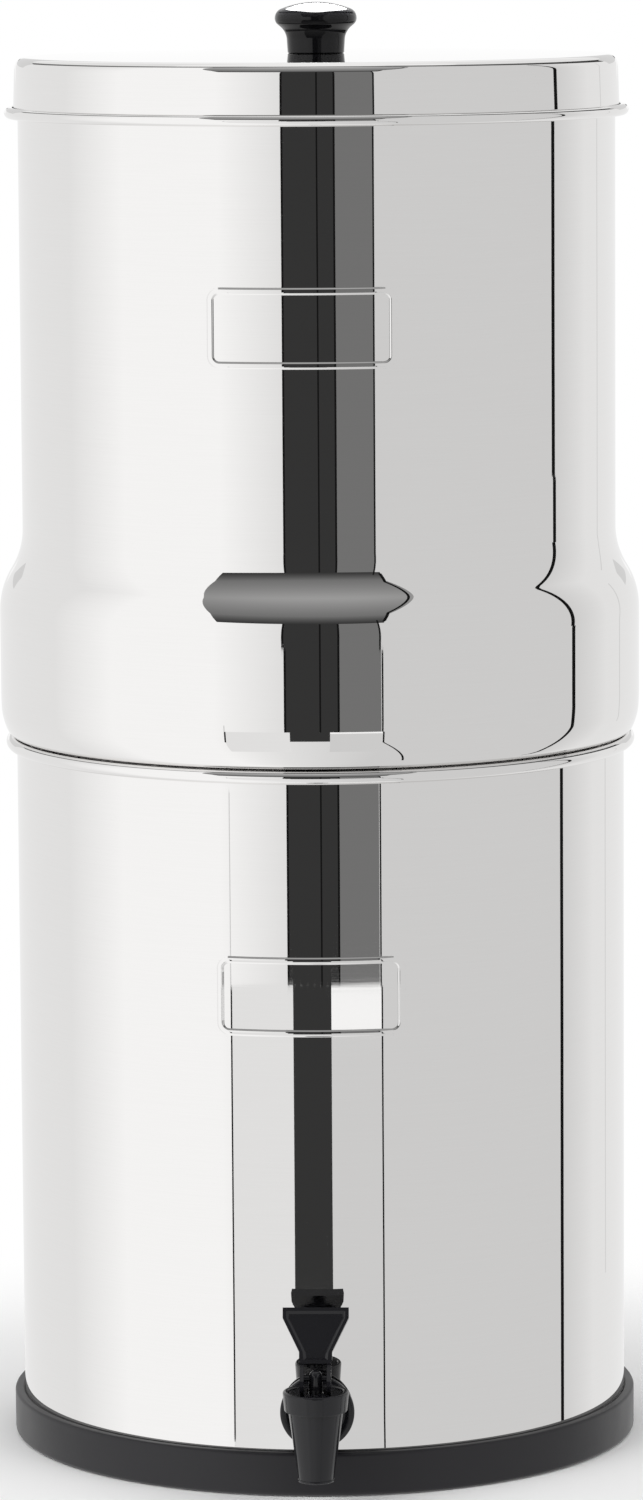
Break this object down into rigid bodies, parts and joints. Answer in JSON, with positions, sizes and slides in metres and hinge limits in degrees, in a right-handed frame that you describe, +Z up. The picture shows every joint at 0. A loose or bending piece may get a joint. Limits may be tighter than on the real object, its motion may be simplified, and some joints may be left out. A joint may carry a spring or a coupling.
{
  "type": "gravity water filter",
  "caption": "Free-standing gravity water filter: an upper steel chamber with carbon elements nests on a lower one with a self-closing lever tap, under a lid with a knob.",
  "frame": {"origin": "on the chambers' axis, in the plane that the rubber base ring stands on", "axes": "+Z up along the chambers' axis; the tap points along -Y; +X to the right of someone facing the tap"},
  "size_m": [0.2532, 0.2847, 0.5691],
  "materials": {
    "steel": "mirror-polished stainless steel sheet",
    "rubber": "matt",
    "knob_plastic": "polished",
    "tap_plastic": "polished moulding",
    "fitting_plastic": "as moulded",
    "carbon": "dull pressed carbon",
    "silicone": "milky, satin",
    "brass": "turned",
    "fastener_steel": "turned"
  },
  "bodies": {
    "lower": {"lower_chamber": "steel", "base_ring": "rubber", "tap_body": "tap_plastic", "tap_outer_washer": "rubber", "tap_inner_washer": "silicone", "tap_shank_nut": "tap_plastic", "tap_bonnet": "tap_plastic", "seat_cup": "silicone"},
    "upper": {"upper_chamber": "steel", "element_left": "carbon", "element_right": "carbon", "element_cap_left": "fitting_plastic", "element_cap_right": "fitting_plastic", "element_washer_left": "silicone", "element_washer_right": "silicone", "wing_nut_left": "fitting_plastic", "wing_nut_right": "fitting_plastic", "hole_plug_front": "fitting_plastic", "hole_plug_back": "fitting_plastic", "plug_washer_front": "silicone", "plug_washer_back": "silicone", "plug_nut_front": "fitting_plastic", "plug_nut_back": "fitting_plastic"},
    "lid": {"lid": "steel", "lid_knob": "knob_plastic", "knob_insert": "brass", "lid_screw": "fastener_steel", "lid_screw_washer": "fastener_steel"},
    "stem": {"valve_stem": "tap_plastic", "lever_pin": "tap_plastic"},
    "lever": {"tap_lever": "tap_plastic"}
  },
  "joints": [
    {"name": "upper_lift", "type": "slide", "parent": "lower", "child": "upper", "axis": [0, 0, 1], "range_m": [0, 0.06]},
    {"name": "lid_lift", "type": "slide", "parent": "upper", "child": "lid", "axis": [0, 0, 1], "range_m": [0, 0.05]},
    {"name": "stem_lift", "type": "slide", "parent": "lower", "child": "stem", "axis": [0, 0, 1], "range_m": [0, 0.003], "deforming": ["seat_cup"]},
    {"name": "lever_turn", "type": "hinge", "parent": "stem", "child": "lever", "pos_m": [0, -0.1455, 0.0515], "axis": [1, 0, 0], "range_deg": [0, 60], "stiffness_Nm_per_rad": 0.02, "springref_deg": -20.05}
  ],
  "couplings": [
    {"joint": "stem_lift", "follows": "lever_turn", "m_per_rad": 0.0028}
  ]
}
